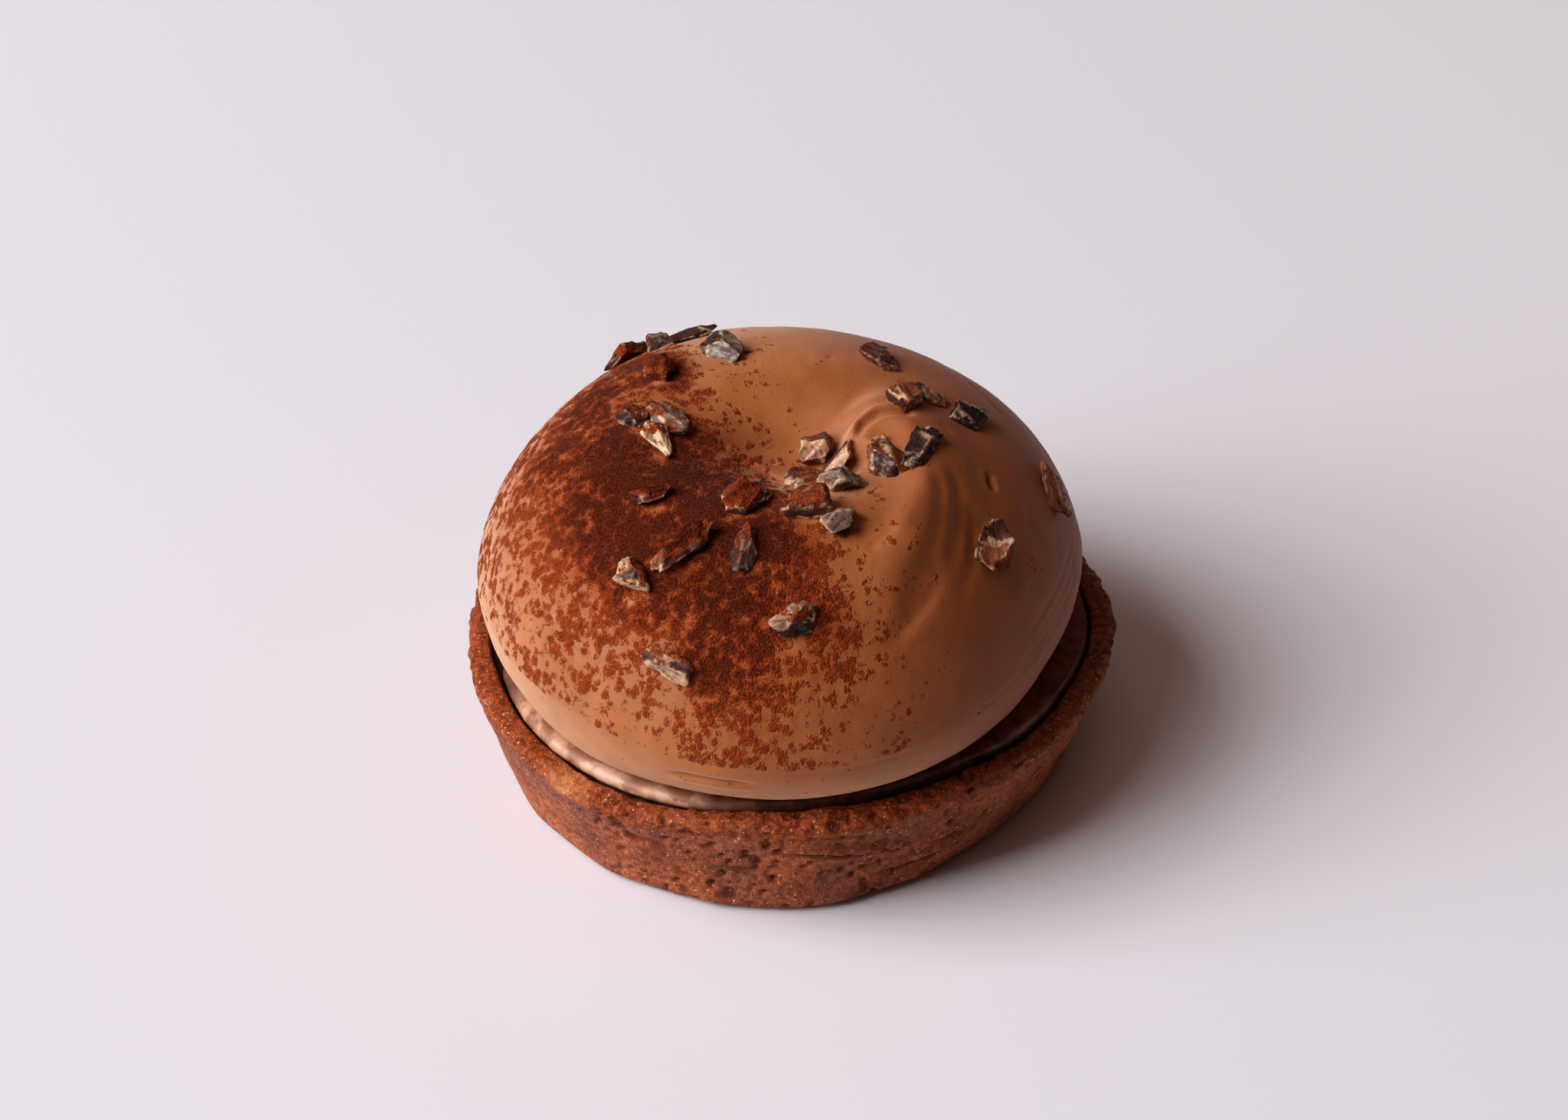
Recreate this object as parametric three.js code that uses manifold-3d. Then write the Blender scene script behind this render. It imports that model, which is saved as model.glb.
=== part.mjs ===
// A single-serve chocolate tart: a baked chocolate shortcrust shell, a dark ganache filling,
// a thin bed of chocolate cream and a smooth whipped-ganache dome with a swirled hollow on top,
// scattered with broken cocoa nibs. Millimetres, +Z up, origin at the middle of the base.
import * as THREE from "three";
import { mergeVertices } from "three/addons/utils/BufferGeometryUtils.js";
import Module from "manifold-3d";

const wasm = await Module();
wasm.setup();

// Driving dimensions, in millimetres.
const RIM_RADIUS = 40; // the shell's outer edge, an 80 mm tart ring
const RIM_HEIGHT = 16.3;
const BASE_RADIUS = 35;
const WALL = 3.2;
const FLOOR = 3.5;
const SEAM = 0.12; // air left between two pieces that touch
const SHELL_X = -0.5; // puts the rim, with its bulges, over the middle
const BASE_SHIFT = 0.55; // the base lies this far left of the rim
const GANACHE_TOP = 15.3; // where the ganache clings to the wall
const MENISCUS = 0.6; // how much lower it lies away from the wall
const BED_TOP = 17.1;
const BED_RADIUS = 34;
const BELLY_RADIUS = 37.65; // the dome where it is widest
const BELLY_HEIGHT = 25.8;
const CROWN_RISE = 21.4; // from the belly up to where the crown would peak without its hollow
const CROWN_FLATNESS = 3.6; // 1 is a pointed crown, more is a flatter one
const SHOULDER_ROUNDNESS = 1.4; // 1 is a sharp belly, 2 an elliptic one
const FOOT_RADIUS = 30; // the dome's underside, where it sits on the cream
const DOME_X = -1.5; // the dome was set down a little off the middle of the shell
const DOME_Y = -0.8;
const SEGMENTS = 80; // steps round every turned piece

const radians = THREE.MathUtils.degToRad;
const { euclideanModulo, mapLinear, smoothstep } = THREE.MathUtils;

// 1 at the centre bearing, falling off like a bell on both sides of it.
function bell(angle, centreDegrees, widthDegrees) {
  const away = euclideanModulo(angle - radians(centreDegrees) + Math.PI, 2 * Math.PI) - Math.PI;
  return Math.exp(-((away / radians(widthDegrees)) ** 2));
}

// 1 between low and high, fading to 0 over the given distance about each end.
function within(value, low, high, fade) {
  return smoothstep(value, low - fade, low + fade) * (1 - smoothstep(value, high - fade, high + fade));
}

// A repeatable number from 0 to 1 for each seed.
function chance(seed) {
  const scrambled = Math.sin(seed * 12.9898) * 43758.5453;
  return scrambled - Math.floor(scrambled);
}

// The same shape with shared vertices and nothing but positions, as a boolean needs it.
function closed(geometry) {
  geometry.deleteAttribute("normal");
  geometry.deleteAttribute("uv");
  return mergeVertices(geometry, 1e-4);
}

// Turns a profile of [radius, height] pairs about +Z, then lets place() move each point.
function turned(profile, place) {
  const points = profile.map(([radius, height]) => new THREE.Vector2(radius, height));
  const geometry = new THREE.LatheGeometry(points, SEGMENTS).rotateX(Math.PI / 2);
  const position = geometry.getAttribute("position");
  for (let i = 0; i < position.count; i++) {
    const radius = Math.hypot(position.getX(i), position.getY(i));
    const angle = Math.atan2(position.getY(i), position.getX(i));
    const [newRadius, newHeight] = place(radius, angle, position.getZ(i));
    const reach = radius < 1e-6 ? 0 : newRadius;
    position.setXYZ(i, reach * Math.cos(angle), reach * Math.sin(angle), newHeight);
  }
  return closed(geometry);
}

function piece(name, geometry, color, roughness) {
  geometry.computeVertexNormals();
  const material = new THREE.MeshStandardMaterial({ color, roughness, metalness: 0 });
  const mesh = new THREE.Mesh(geometry, material);
  mesh.name = name;
  return mesh;
}

// --- The shortcrust shell -------------------------------------------------------------------

// The hand-lined rim is uneven: it stands highest at the front and is worn down left of it.
function rimLift(angle) {
  const uneven = 0.3 * Math.sin(3 * angle + 1) + 0.2 * Math.sin(7 * angle + 2.2);
  return uneven + 0.6 * bell(angle, -79, 14) - bell(angle, -118, 12);
}

// How far the shell is from round: slightly oval and three-cornered, with a nick at the left
// and at the right where two strips of dough met.
function shellWobble(angle) {
  const oval = 0.68 * Math.cos(2 * (angle - radians(30.4)));
  const corners = 0.52 * Math.cos(3 * (angle + radians(3.3)));
  const nicks = 0.4 * bell(angle, -5, 9) + 0.4 * bell(angle, -172, 7) + 0.7 * bell(angle, 172, 11);
  return oval + corners + nicks;
}

// The shell leans a little, so that its base lies left of its rim.
function shellLean(angle, height) {
  return BASE_SHIFT * (height / RIM_HEIGHT - 1) * Math.cos(angle);
}

function wallRadius(height) {
  return mapLinear(height, 0, RIM_HEIGHT, BASE_RADIUS, RIM_RADIUS);
}

// Shallow knocks and swellings left in the dough by the fingers that pressed it.
function doughRelief(angle, height) {
  const knocks = 0.16 * Math.sin(9 * angle + 0.5 * height) * Math.sin(0.45 * height + 4 * angle);
  const lumps = 0.12 * Math.sin(17 * angle + 1.3) * Math.sin(0.8 * height + 0.7);
  return knocks + lumps;
}

// Creases where two layers of dough met: [bearing, half width in degrees, height, depth].
const CREASES = [
  [-73, 10, 9.3, 0.5],
  [-62, 6, 4.8, 0.6],
];
const CREASE_WIDTH = 0.8;

function creaseDepth(angle, height) {
  let depth = 0;
  for (const [bearing, halfWidth, level, deepest] of CREASES) {
    const across = Math.exp(-(((height - level) / CREASE_WIDTH) ** 2));
    depth += deepest * bell(angle, bearing, halfWidth) * across;
  }
  return depth;
}

// The bottom edge curls up off the table a little at the front.
function liftedEdge(radius, angle, height) {
  return height < 1 ? 0.8 * bell(angle, -71, 7) * smoothstep(radius, BASE_RADIUS - 2, BASE_RADIUS) : 0;
}

// The foot of the wall swells towards the front, as the dough sat down in the oven.
function footSwell(angle, height) {
  return 1.5 * bell(angle, -86, 24) * (1 - smoothstep(height, 0, 8));
}

function shellProfile() {
  const profile = [[0, 0], [BASE_RADIUS * 0.6, 0], [BASE_RADIUS - 1.3, 0], [BASE_RADIUS - 0.3, 0.4]];
  const wallSteps = 9;
  for (let i = 0; i <= wallSteps; i++) {
    const height = mapLinear(i, 0, wallSteps, 1.4, RIM_HEIGHT - 1.6);
    profile.push([wallRadius(height), height]);
  }
  // the rim rounds off outwards, and drops straight to the filling
  profile.push([RIM_RADIUS - 0.4, RIM_HEIGHT - 0.8]);
  profile.push([RIM_RADIUS - 1.1, RIM_HEIGHT - 0.2]);
  profile.push([RIM_RADIUS - 2, RIM_HEIGHT], [RIM_RADIUS - 3, RIM_HEIGHT]);
  profile.push([RIM_RADIUS - 3.4, RIM_HEIGHT - 0.3]);
  profile.push([wallRadius(GANACHE_TOP) - WALL, GANACHE_TOP]);
  profile.push([wallRadius(FLOOR) - WALL, FLOOR], [0, FLOOR]);
  return profile;
}

function makeShell() {
  const geometry = turned(shellProfile(), (radius, angle, height) => {
    const isOuter = radius > wallRadius(height) - 1 && height > 1;
    const relief = isOuter ? doughRelief(angle, height) - creaseDepth(angle, height) : 0;
    const shape = shellWobble(angle) + shellLean(angle, height) + footSwell(angle, height);
    const wobble = shape * Math.min(radius / BASE_RADIUS, 1);
    const lift = rimLift(angle) * smoothstep(height, FLOOR, RIM_HEIGHT);
    return [radius + wobble + relief, height + lift + liftedEdge(radius, angle, height)];
  });
  geometry.translate(SHELL_X, 0, 0);
  return piece("crust", geometry, 0x5e2c1a, 0.75);
}

// --- The ganache that fills the shell -------------------------------------------------------

function makeGanache() {
  const edge = (height) => wallRadius(height) - WALL - SEAM;
  const bottom = FLOOR + SEAM;
  const level = GANACHE_TOP - MENISCUS;
  const profile = [
    [0, bottom],
    [edge(bottom), bottom],
    [edge(GANACHE_TOP), GANACHE_TOP],
    [edge(GANACHE_TOP) - 0.5, GANACHE_TOP - 0.6 * MENISCUS],
    [edge(GANACHE_TOP) - 1.5, level],
    [0, level],
  ];
  const geometry = turned(profile, (radius, angle, height) => {
    const wobble = (shellWobble(angle) + shellLean(angle, height)) * Math.min(radius / BASE_RADIUS, 1);
    const clinging = smoothstep(height, level, GANACHE_TOP) * smoothstep(height, FLOOR, RIM_HEIGHT);
    return [radius + wobble, height + rimLift(angle) * clinging];
  });
  geometry.translate(SHELL_X, 0, 0);
  return piece("ganache", geometry, 0x3a1d12, 0.4);
}

// --- The cream bed under the dome -----------------------------------------------------------

// The dome squeezed the cream out when it was set on it: up to the wall at the left front, and
// nearly as far at the front and the right.
function bedRadius(angle) {
  const bearing = THREE.MathUtils.radToDeg(angle);
  const wall = wallRadius(GANACHE_TOP) - WALL + shellWobble(angle) + SHELL_X * Math.cos(angle);
  const toWall = wall - BED_RADIUS;
  const leftFront = (toWall - 1.3 * SEAM) * within(bearing, -168, -101, 6);
  const front = (toWall - 0.6) * within(bearing, -101, -50, 6);
  const right = (toWall - 0.4) * within(bearing, -50, 35, 6);
  return BED_RADIUS + leftFront + front + right;
}

// The share of the upper edge's roundness that is left: the shell's wall squared it off at the
// front and the right.
function bedRoundness(angle) {
  return 1 - 0.7 * within(THREE.MathUtils.radToDeg(angle), -101, 35, 6);
}

function makeCreamBed() {
  const bottom = GANACHE_TOP - MENISCUS + SEAM;
  const halfHeight = (BED_TOP - bottom) / 2;
  const roundness = 1.6; // how far its edge bulges
  const profile = [[0, bottom]];
  const edgeSteps = 4;
  for (let i = 0; i <= edgeSteps; i++) {
    const tilt = mapLinear(i, 0, edgeSteps, -Math.PI / 2, Math.PI / 2);
    const radius = BED_RADIUS - roundness * (1 - Math.cos(tilt));
    profile.push([radius, bottom + halfHeight * (1 + Math.sin(tilt))]);
  }
  profile.push([0, BED_TOP]);
  const geometry = turned(profile, (radius, angle, height) => {
    const squared = height > bottom + halfHeight ? bedRoundness(angle) : 1;
    return [bedRadius(angle) - (BED_RADIUS - radius) * squared, height];
  });
  return piece("cream_bed", geometry, 0xa06a48, 0.35);
}

// --- The whipped-ganache dome ---------------------------------------------------------------

// How far the dome's outline is from round: [share of its radius, corners, bearing of one].
const DOME_HARMONICS = [
  [0.02, 2, radians(75.7)],
  [0.015, 3, radians(29.5)],
  [0.01, 4, radians(14.2)],
];

// Furrows that the palette knife left, each along a spiral about their own middle:
// [spiral radius, width, depth, first bearing, last bearing], bearings in degrees.
const FURROWS = [
  [16.9, 1, 0.45, -54, -17],
  [18.7, 1, 0.6, -64, -44],
  [19, 0.9, 0.35, -37, -10],
  [21.5, 0.8, 0.25, -39, -23],
];
const FURROW_SPIRAL = { x: 0, y: -4, pitch: 0.155 }; // pitch is millimetres for each degree

// The swirl: a bowl, and a fold that lies along a spiral and covers the bowl's right side. Places
// are from the dome's middle, offsets and widths are across the spiral.
const BOWL = { x: 1.9, y: -3, reachX: 10.5, reachY: 8.9, depth: 5.6 };
const TONGUE = { x: 12.8, y: -1.2, reachX: 5, reachY: 3.9 }; // where the fold starts, at the back
const FOLD_SPIRAL = { x: 1, y: -3, pitch: 0.105 };
const FOLD = { radius: 15.3, first: -57, last: 41, backWidth: 2.8, frontWidth: 5.4 };
const RIDGE = { height: 1.4, innerWidth: 2.6, outerWidth: 6.8 };
const VALLEY = { offset: 7.5, width: 2.2, depth: 0.4 };
const GROOVE = { offset: 5, width: 2, depth: 0.7, first: -60, last: -15 };

function domeStretch(angle) {
  let stretch = 1;
  for (const [share, corners, bearing] of DOME_HARMONICS) {
    stretch += share * Math.cos(corners * (angle - bearing));
  }
  return stretch;
}

// Height of the plain crown above the belly, at a share of the belly's radius.
function crownRise(share) {
  const fall = Math.min(share, 1) ** CROWN_FLATNESS;
  return CROWN_RISE * (1 - fall) ** (1 / SHOULDER_ROUNDNESS);
}

// 1 at 0, falling off like a bell as the distance passes the width.
function bump(distance, width) {
  return Math.exp(-((distance / width) ** 2));
}

// Where x, y lies on a spiral: its bearing in degrees about the spiral's middle, and its spiral
// radius, which stays the same all along a spiral that opens clockwise.
function onSpiral(x, y, spiral) {
  const bearing = THREE.MathUtils.radToDeg(Math.atan2(y - spiral.y, x - spiral.x));
  return [bearing, Math.hypot(x - spiral.x, y - spiral.y) + spiral.pitch * bearing];
}

function furrowDepth(x, y) {
  const [bearing, along] = onSpiral(x, y, FURROW_SPIRAL);
  let total = 0;
  for (const [radius, width, depth, first, last] of FURROWS) {
    total += depth * bump(along - radius, width) * within(bearing, first, last, 6);
  }
  return total;
}

// Depth of the bowl, before its right side was folded over.
function bowlDepth(x, y) {
  return BOWL.depth * bump(x - BOWL.x, BOWL.reachX) * bump(y - BOWL.y, BOWL.reachY);
}

// Height that the swirl adds to the crown at x, y from the dome's middle. The knife folded a
// ridge over the right side of the bowl, from a crisp tongue at the back to a soft front.
function swirl(x, y) {
  const [bearing, along] = onSpiral(x, y, FOLD_SPIRAL);
  const outside = along - FOLD.radius;
  const folded = within(bearing, FOLD.first, FOLD.last, 12);
  const toFront = THREE.MathUtils.clamp(mapLinear(bearing, 40, -60, 0, 1), 0, 1);
  const width = mapLinear(toFront, 0, 1, FOLD.backWidth, FOLD.frontWidth);
  const ridge = RIDGE.height * bump(outside, outside < 0 ? RIDGE.innerWidth : RIDGE.outerWidth);
  const valley = VALLEY.depth * bump(outside - VALLEY.offset, VALLEY.width);
  const scored = within(bearing, GROOVE.first, GROOVE.last, 8);
  const groove = GROOVE.depth * bump(outside - GROOVE.offset, GROOVE.width) * scored;
  const fromTongue = Math.hypot((x - TONGUE.x) / TONGUE.reachX, (y - TONGUE.y) / TONGUE.reachY);
  const tongue = 1 - smoothstep(fromTongue, 0.7, 1.3);
  const filled = 1 - (1 - tongue) * (1 - folded * smoothstep(outside, -width, width));
  return folded * (ridge - valley) - groove - bowlDepth(x, y) * (1 - filled) - furrowDepth(x, y);
}

// Height of the crown above the table at x, y from the dome's middle.
function crownHeight(x, y) {
  const share = Math.hypot(x, y) / (BELLY_RADIUS * domeStretch(Math.atan2(y, x)));
  return BELLY_HEIGHT + crownRise(share) + swirl(x, y);
}

function domeProfile() {
  const foot = BED_TOP + SEAM;
  const profile = [[0, foot], [FOOT_RADIUS, foot]];
  const underSteps = 5;
  for (let i = 1; i < underSteps; i++) {
    const turn = radians(mapLinear(i, 0, underSteps, -90, 0));
    const radius = FOOT_RADIUS + (BELLY_RADIUS - FOOT_RADIUS) * Math.cos(turn);
    profile.push([radius, BELLY_HEIGHT + (BELLY_HEIGHT - foot) * Math.sin(turn)]);
  }
  const crownSteps = 28;
  for (let i = 0; i < crownSteps; i++) {
    const share = Math.cos(radians(mapLinear(i, 0, crownSteps, 0, 90)));
    profile.push([BELLY_RADIUS * share, BELLY_HEIGHT + crownRise(share)]);
  }
  profile.push([0, BELLY_HEIGHT + CROWN_RISE]);
  return profile;
}

// The dome sagged at the left front and at the right front, so its underside is fuller there.
function sagged(radius, angle, height) {
  if (height >= BELLY_HEIGHT || radius < 1) return 0;
  const fuller = 3.8 * bell(angle, -134, 29) + 2.4 * bell(angle, -38, 28);
  return fuller * mapLinear(radius, BELLY_RADIUS, FOOT_RADIUS, 0, 1);
}

function makeDomeBody() {
  return turned(domeProfile(), (radius, angle, height) => {
    const newRadius = radius * domeStretch(angle) + sagged(radius, angle, height);
    const x = newRadius * Math.cos(angle);
    const y = newRadius * Math.sin(angle);
    const added = height < BELLY_HEIGHT ? 0 : swirl(x, y);
    return [newRadius, height + added];
  });
}

// Broken cocoa nibs: what each kind measures for its length, and how much its ends curl up.
const KINDS = {
  chunk: { width: 0.72, thickness: 0.56, curl: 0 },
  flake: { width: 0.68, thickness: 0.36, curl: 0.1 },
  shell: { width: 0.8, thickness: 0.28, curl: 0.8 },
  sliver: { width: 0.4, thickness: 0.36, curl: 0.25 },
};
// [x, y from the dome's middle, length, heading in degrees, kind]
const NIBS = [
  // along the far left edge
  [-18.9, 22.4, 5.4, 32, "chunk"],
  [-15.4, 23.6, 4.6, 63, "flake"],
  [-10.8, 22.6, 4.6, 14, "sliver"],
  [-15.1, 11.6, 4.8, 94, "chunk"],
  // across the far side
  [-7.4, 15.6, 5.2, -36, "flake"],
  [12.5, 13.7, 5.4, -52, "flake"],
  [14.9, 2.6, 4.4, -77, "chunk"],
  [17.9, 6.4, 4.6, -44, "flake"],
  [22.4, 3.7, 4.4, 44, "chunk"],
  // on the left shoulder
  [-17, 1.5, 3.8, 17, "chunk"],
  [-13.5, 0.6, 4.8, -54, "flake"],
  [-14.2, -3.3, 4.6, -77, "chunk"],
  [-14.5, -12.9, 4.8, 12, "flake"],
  // gathered in the hollow and along the swirl
  [-5.1, -14.9, 5.8, 62, "flake"],
  [-2.2, -13.3, 4.8, 93, "sliver"],
  [4.3, -0.2, 5, 107, "chunk"],
  [7.4, -3.2, 5.4, 6, "flake"],
  [12.3, -5.4, 5.6, -49, "chunk"],
  [16.6, -5.4, 6.8, 56, "sliver"],
  [2.8, -7.9, 4.6, 28, "chunk"],
  [7.1, -9.5, 5.4, -32, "chunk"],
  [3.7, -16, 6, -7, "chunk"],
  [6.7, -18.2, 5.8, 52, "flake"],
  // on the right
  [32.6, 1.1, 5.8, -34, "flake"],
  [24.5, -16.3, 5.4, -64, "shell"],
  // towards the front
  [-11.6, -21.4, 7.6, 42, "sliver"],
  [-4.1, -22.6, 5.2, 88, "flake"],
  [-17.1, -22.6, 4.8, 99, "chunk"],
  [1.5, -29.9, 4.4, 6, "chunk"],
  [-12.5, -31.7, 5, -68, "chunk"],
];
const NIB_CUTS = 9; // broken faces on each nib
const NIB_REACH = 1.15; // how far its corners may stick out, in radii
const NIB_SUNK = 0.2; // share of a nib's height pressed into the dome

// The flat faces that cut a nib out of a ball, spread round it by a loose spiral.
function nibCuts(seed) {
  return Array.from({ length: NIB_CUTS }, (_, k) => {
    const height = 1 - (2 * (k + 0.5)) / NIB_CUTS;
    const turn = 2.4 * k + 6.3 * chance(seed + 0.31 * k);
    const ring = Math.sqrt(1 - height * height);
    const normal = new THREE.Vector3(ring * Math.cos(turn), ring * Math.sin(turn), height);
    return { normal, distance: 0.5 + 0.4 * chance(seed + 7.7 + 0.53 * k) };
  });
}

// One nib about its own middle, its length along +X and its flat side down.
function nibGeometry(seed, length, { width, thickness, curl }) {
  const cuts = nibCuts(seed);
  const size = new THREE.Vector3(1, width, thickness).multiplyScalar(length * 0.6);
  const geometry = closed(new THREE.IcosahedronGeometry(1, 1));
  const position = geometry.getAttribute("position");
  const point = new THREE.Vector3();
  for (let i = 0; i < position.count; i++) {
    point.fromBufferAttribute(position, i).normalize();
    const reaches = cuts.map(({ normal, distance }) => distance / Math.max(point.dot(normal), 0.05));
    point.multiplyScalar(Math.min(NIB_REACH, ...reaches)).multiply(size);
    point.z += (curl * (point.x ** 2 + point.y ** 2)) / length;
    position.setXYZ(i, point.x, point.y, point.z);
  }
  return geometry;
}

function crownNormal(x, y) {
  const step = 0.6;
  const slopeX = (crownHeight(x + step, y) - crownHeight(x - step, y)) / (2 * step);
  const slopeY = (crownHeight(x, y + step) - crownHeight(x, y - step)) / (2 * step);
  return new THREE.Vector3(-slopeX, -slopeY, 1).normalize();
}

// A nib lies on the crown with its length along its heading, rolled a little to one side.
function makeNib([x, y, length, heading, kind], index) {
  const seed = index + 1;
  const { width, thickness } = KINDS[kind];
  const out = crownNormal(x, y);
  const ahead = new THREE.Vector3(Math.cos(radians(heading)), Math.sin(radians(heading)), 0);
  ahead.addScaledVector(out, -ahead.dot(out)).normalize();
  const roll = radians(70 * (chance(seed + 11) - 0.5));
  const up = out.clone().applyAxisAngle(ahead, roll);
  const side = new THREE.Vector3().crossVectors(up, ahead);
  const halfHeight = 0.42 * length * Math.hypot(thickness * Math.cos(roll), width * Math.sin(roll));
  const lift = halfHeight * (1 - 2 * NIB_SUNK);
  const place = new THREE.Matrix4().makeBasis(ahead, side, up);
  place.setPosition(x + out.x * lift, y + out.y * lift, crownHeight(x, y) + out.z * lift);
  return nibGeometry(seed, length, KINDS[kind]).applyMatrix4(place);
}

function solid(geometry) {
  const vertProperties = new Float32Array(geometry.getAttribute("position").array);
  const triVerts = new Uint32Array(geometry.index.array);
  return new wasm.Manifold(new wasm.Mesh({ numProp: 3, vertProperties, triVerts }));
}

function geometryOf(manifold) {
  const mesh = manifold.getMesh();
  const geometry = new THREE.BufferGeometry();
  geometry.setAttribute("position", new THREE.BufferAttribute(mesh.vertProperties, 3));
  geometry.setIndex(new THREE.BufferAttribute(mesh.triVerts, 1));
  return geometry;
}

function makeDome() {
  let dome = solid(makeDomeBody());
  for (const nib of NIBS.map(makeNib)) {
    dome = dome.add(solid(nib));
  }
  const geometry = geometryOf(dome);
  geometry.translate(DOME_X, DOME_Y, 0);
  return piece("mousse_dome", geometry, 0x8a5230, 0.6);
}

const tart = new THREE.Group();
tart.add(makeShell(), makeGanache(), makeCreamBed(), makeDome());

export default tart;
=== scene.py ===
import bmesh
import bpy
import numpy as np
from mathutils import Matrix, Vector


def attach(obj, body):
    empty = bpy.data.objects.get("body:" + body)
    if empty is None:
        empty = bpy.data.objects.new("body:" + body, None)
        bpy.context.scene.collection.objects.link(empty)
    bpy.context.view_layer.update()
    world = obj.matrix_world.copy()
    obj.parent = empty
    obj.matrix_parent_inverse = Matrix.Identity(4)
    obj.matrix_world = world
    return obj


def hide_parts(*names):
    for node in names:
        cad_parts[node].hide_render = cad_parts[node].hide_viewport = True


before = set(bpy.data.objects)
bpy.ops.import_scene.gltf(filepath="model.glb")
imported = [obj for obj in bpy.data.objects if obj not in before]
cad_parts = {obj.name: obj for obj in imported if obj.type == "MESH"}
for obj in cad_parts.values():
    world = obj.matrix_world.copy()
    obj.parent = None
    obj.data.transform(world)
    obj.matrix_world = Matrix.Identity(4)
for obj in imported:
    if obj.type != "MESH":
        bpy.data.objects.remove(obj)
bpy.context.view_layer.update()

# ---------------------------------------------------------------------------------------------
# The place: a pale table. A window at the left gives most of the light, with a low cool glow
# from its sill and a dim warm ceiling. The camera looks down on the tart from the front, as
# someone standing at the table does.
# ---------------------------------------------------------------------------------------------
aim = Vector((-0.001, 0, 0.015))
sight_length = 0.4368
sight_rise = np.radians(39)
sight_tilt = np.radians(37.915)  # a little flatter than the rise, so it looks past the middle
camera_data = bpy.data.cameras.new("view")
camera_data.lens = 80
camera_data.sensor_width = 36
camera = bpy.data.objects.new("view", camera_data)
camera.location = aim + sight_length * Vector((0, -np.cos(sight_rise), np.sin(sight_rise)))
camera.rotation_euler = (np.pi / 2 - sight_tilt, 0, 0)
bpy.context.collection.objects.link(camera)
bpy.context.scene.camera = camera
bpy.context.scene.view_settings.view_transform = "Standard"
bpy.context.scene.view_settings.look = "Medium High Contrast"


def lamp(name, bearing, rise, distance, size, power, color):
    """A square soft light that faces the tart from a bearing and a rise in degrees."""
    data = bpy.data.lights.new(name, "AREA")
    data.size = size
    data.energy = power
    data.color = color
    light = bpy.data.objects.new(name, data)
    turn, tilt = np.radians(bearing), np.radians(rise)
    away = Vector((np.cos(turn) * np.cos(tilt), np.sin(turn) * np.cos(tilt), np.sin(tilt)))
    light.location = distance * away
    light.rotation_euler = away.to_track_quat("Z", "Y").to_euler()
    bpy.context.collection.objects.link(light)


lamp("ceiling", bearing=90, rise=88, distance=2.5, size=2, power=5.2, color=(1.0, 0.72, 0.62))
lamp("window", bearing=194, rise=41.5, distance=2.5, size=1.8, power=74, color=(0.95, 0.955, 1.0))
lamp("sill", bearing=200, rise=12, distance=2.5, size=1.5, power=18, color=(0.72, 0.95, 1.0))

room = bpy.data.worlds.new("room")
room.use_nodes = True
room.node_tree.nodes["Background"].inputs["Color"].default_value = (1.0, 0.66, 0.54, 1)
room.node_tree.nodes["Background"].inputs["Strength"].default_value = 0.066
bpy.context.scene.world = room


def add(tree, kind, settings, inputs):
    """One shader node. An input takes a plain value, or another node's socket to link to."""
    node = tree.nodes.new("ShaderNode" + kind)
    for name, value in settings.items():
        setattr(node, name, value)
    for key, value in inputs.items():
        if isinstance(value, bpy.types.NodeSocket):
            tree.links.new(value, node.inputs[key])
        else:
            node.inputs[key].default_value = value
    return node


def finish_named(name):
    """An empty material: its node tree and its Principled shader."""
    material = bpy.data.materials.new(name)
    material.use_nodes = True
    return material, material.node_tree, material.node_tree.nodes["Principled BSDF"]


table_finish, tree, shader = finish_named("pale_table")
shader.inputs["Base Color"].default_value = (0.80, 0.775, 0.80, 1)
shader.inputs["Roughness"].default_value = 0.65
half_table = 3.0
corners = [(-half_table, -half_table, 0), (half_table, -half_table, 0),
           (half_table, half_table, 0), (-half_table, half_table, 0)]
table_mesh = bpy.data.meshes.new("table")
table_mesh.from_pydata(corners, [], [(0, 1, 2, 3)])
table_mesh.materials.append(table_finish)
table = bpy.data.objects.new("table", table_mesh)
bpy.context.collection.objects.link(table)

# ---------------------------------------------------------------------------------------------
# The shell: chocolate shortcrust, lined into a ring by hand and baked. Its wall is about 3 mm
# thick and flares a little. The outside is dense and fatty with a dull bloom, and the cut rim
# is dry and crumbly.
# ---------------------------------------------------------------------------------------------
rim_radius, rim_height, base_radius, wall, floor = 40.0, 16.3, 35.0, 3.2, 3.5
ganache_top, meniscus = 15.3, 0.6  # where the filling clings, and how much lower it lies inside
seam = 0.12  # air left between two pieces that touch
shell_x, base_shift = -0.5, 0.55  # the shell's place, and how far left of the rim its base lies


def hump(away, width):
    """1 where away is 0, falling off as exp(-(away / width)^2)."""
    return np.exp(-((away / width) ** 2))


def bell(angle, centre, width):
    """A hump about a bearing in degrees, all round the turn."""
    away = (angle - np.radians(centre) + np.pi) % (2 * np.pi) - np.pi
    return hump(away, np.radians(width))


def smooth(value, low, high):
    """0 below low, 1 above high and the S-curve 3t^2 - 2t^3 between them."""
    share = np.clip((value - low) / (high - low), 0, 1)
    return share * share * (3 - 2 * share)


def within(value, low, high, fade):
    """1 between low and high, with an S-curve of twice the fade about each end."""
    return smooth(value, low - fade, low + fade) * (1 - smooth(value, high - fade, high + fade))


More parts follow.
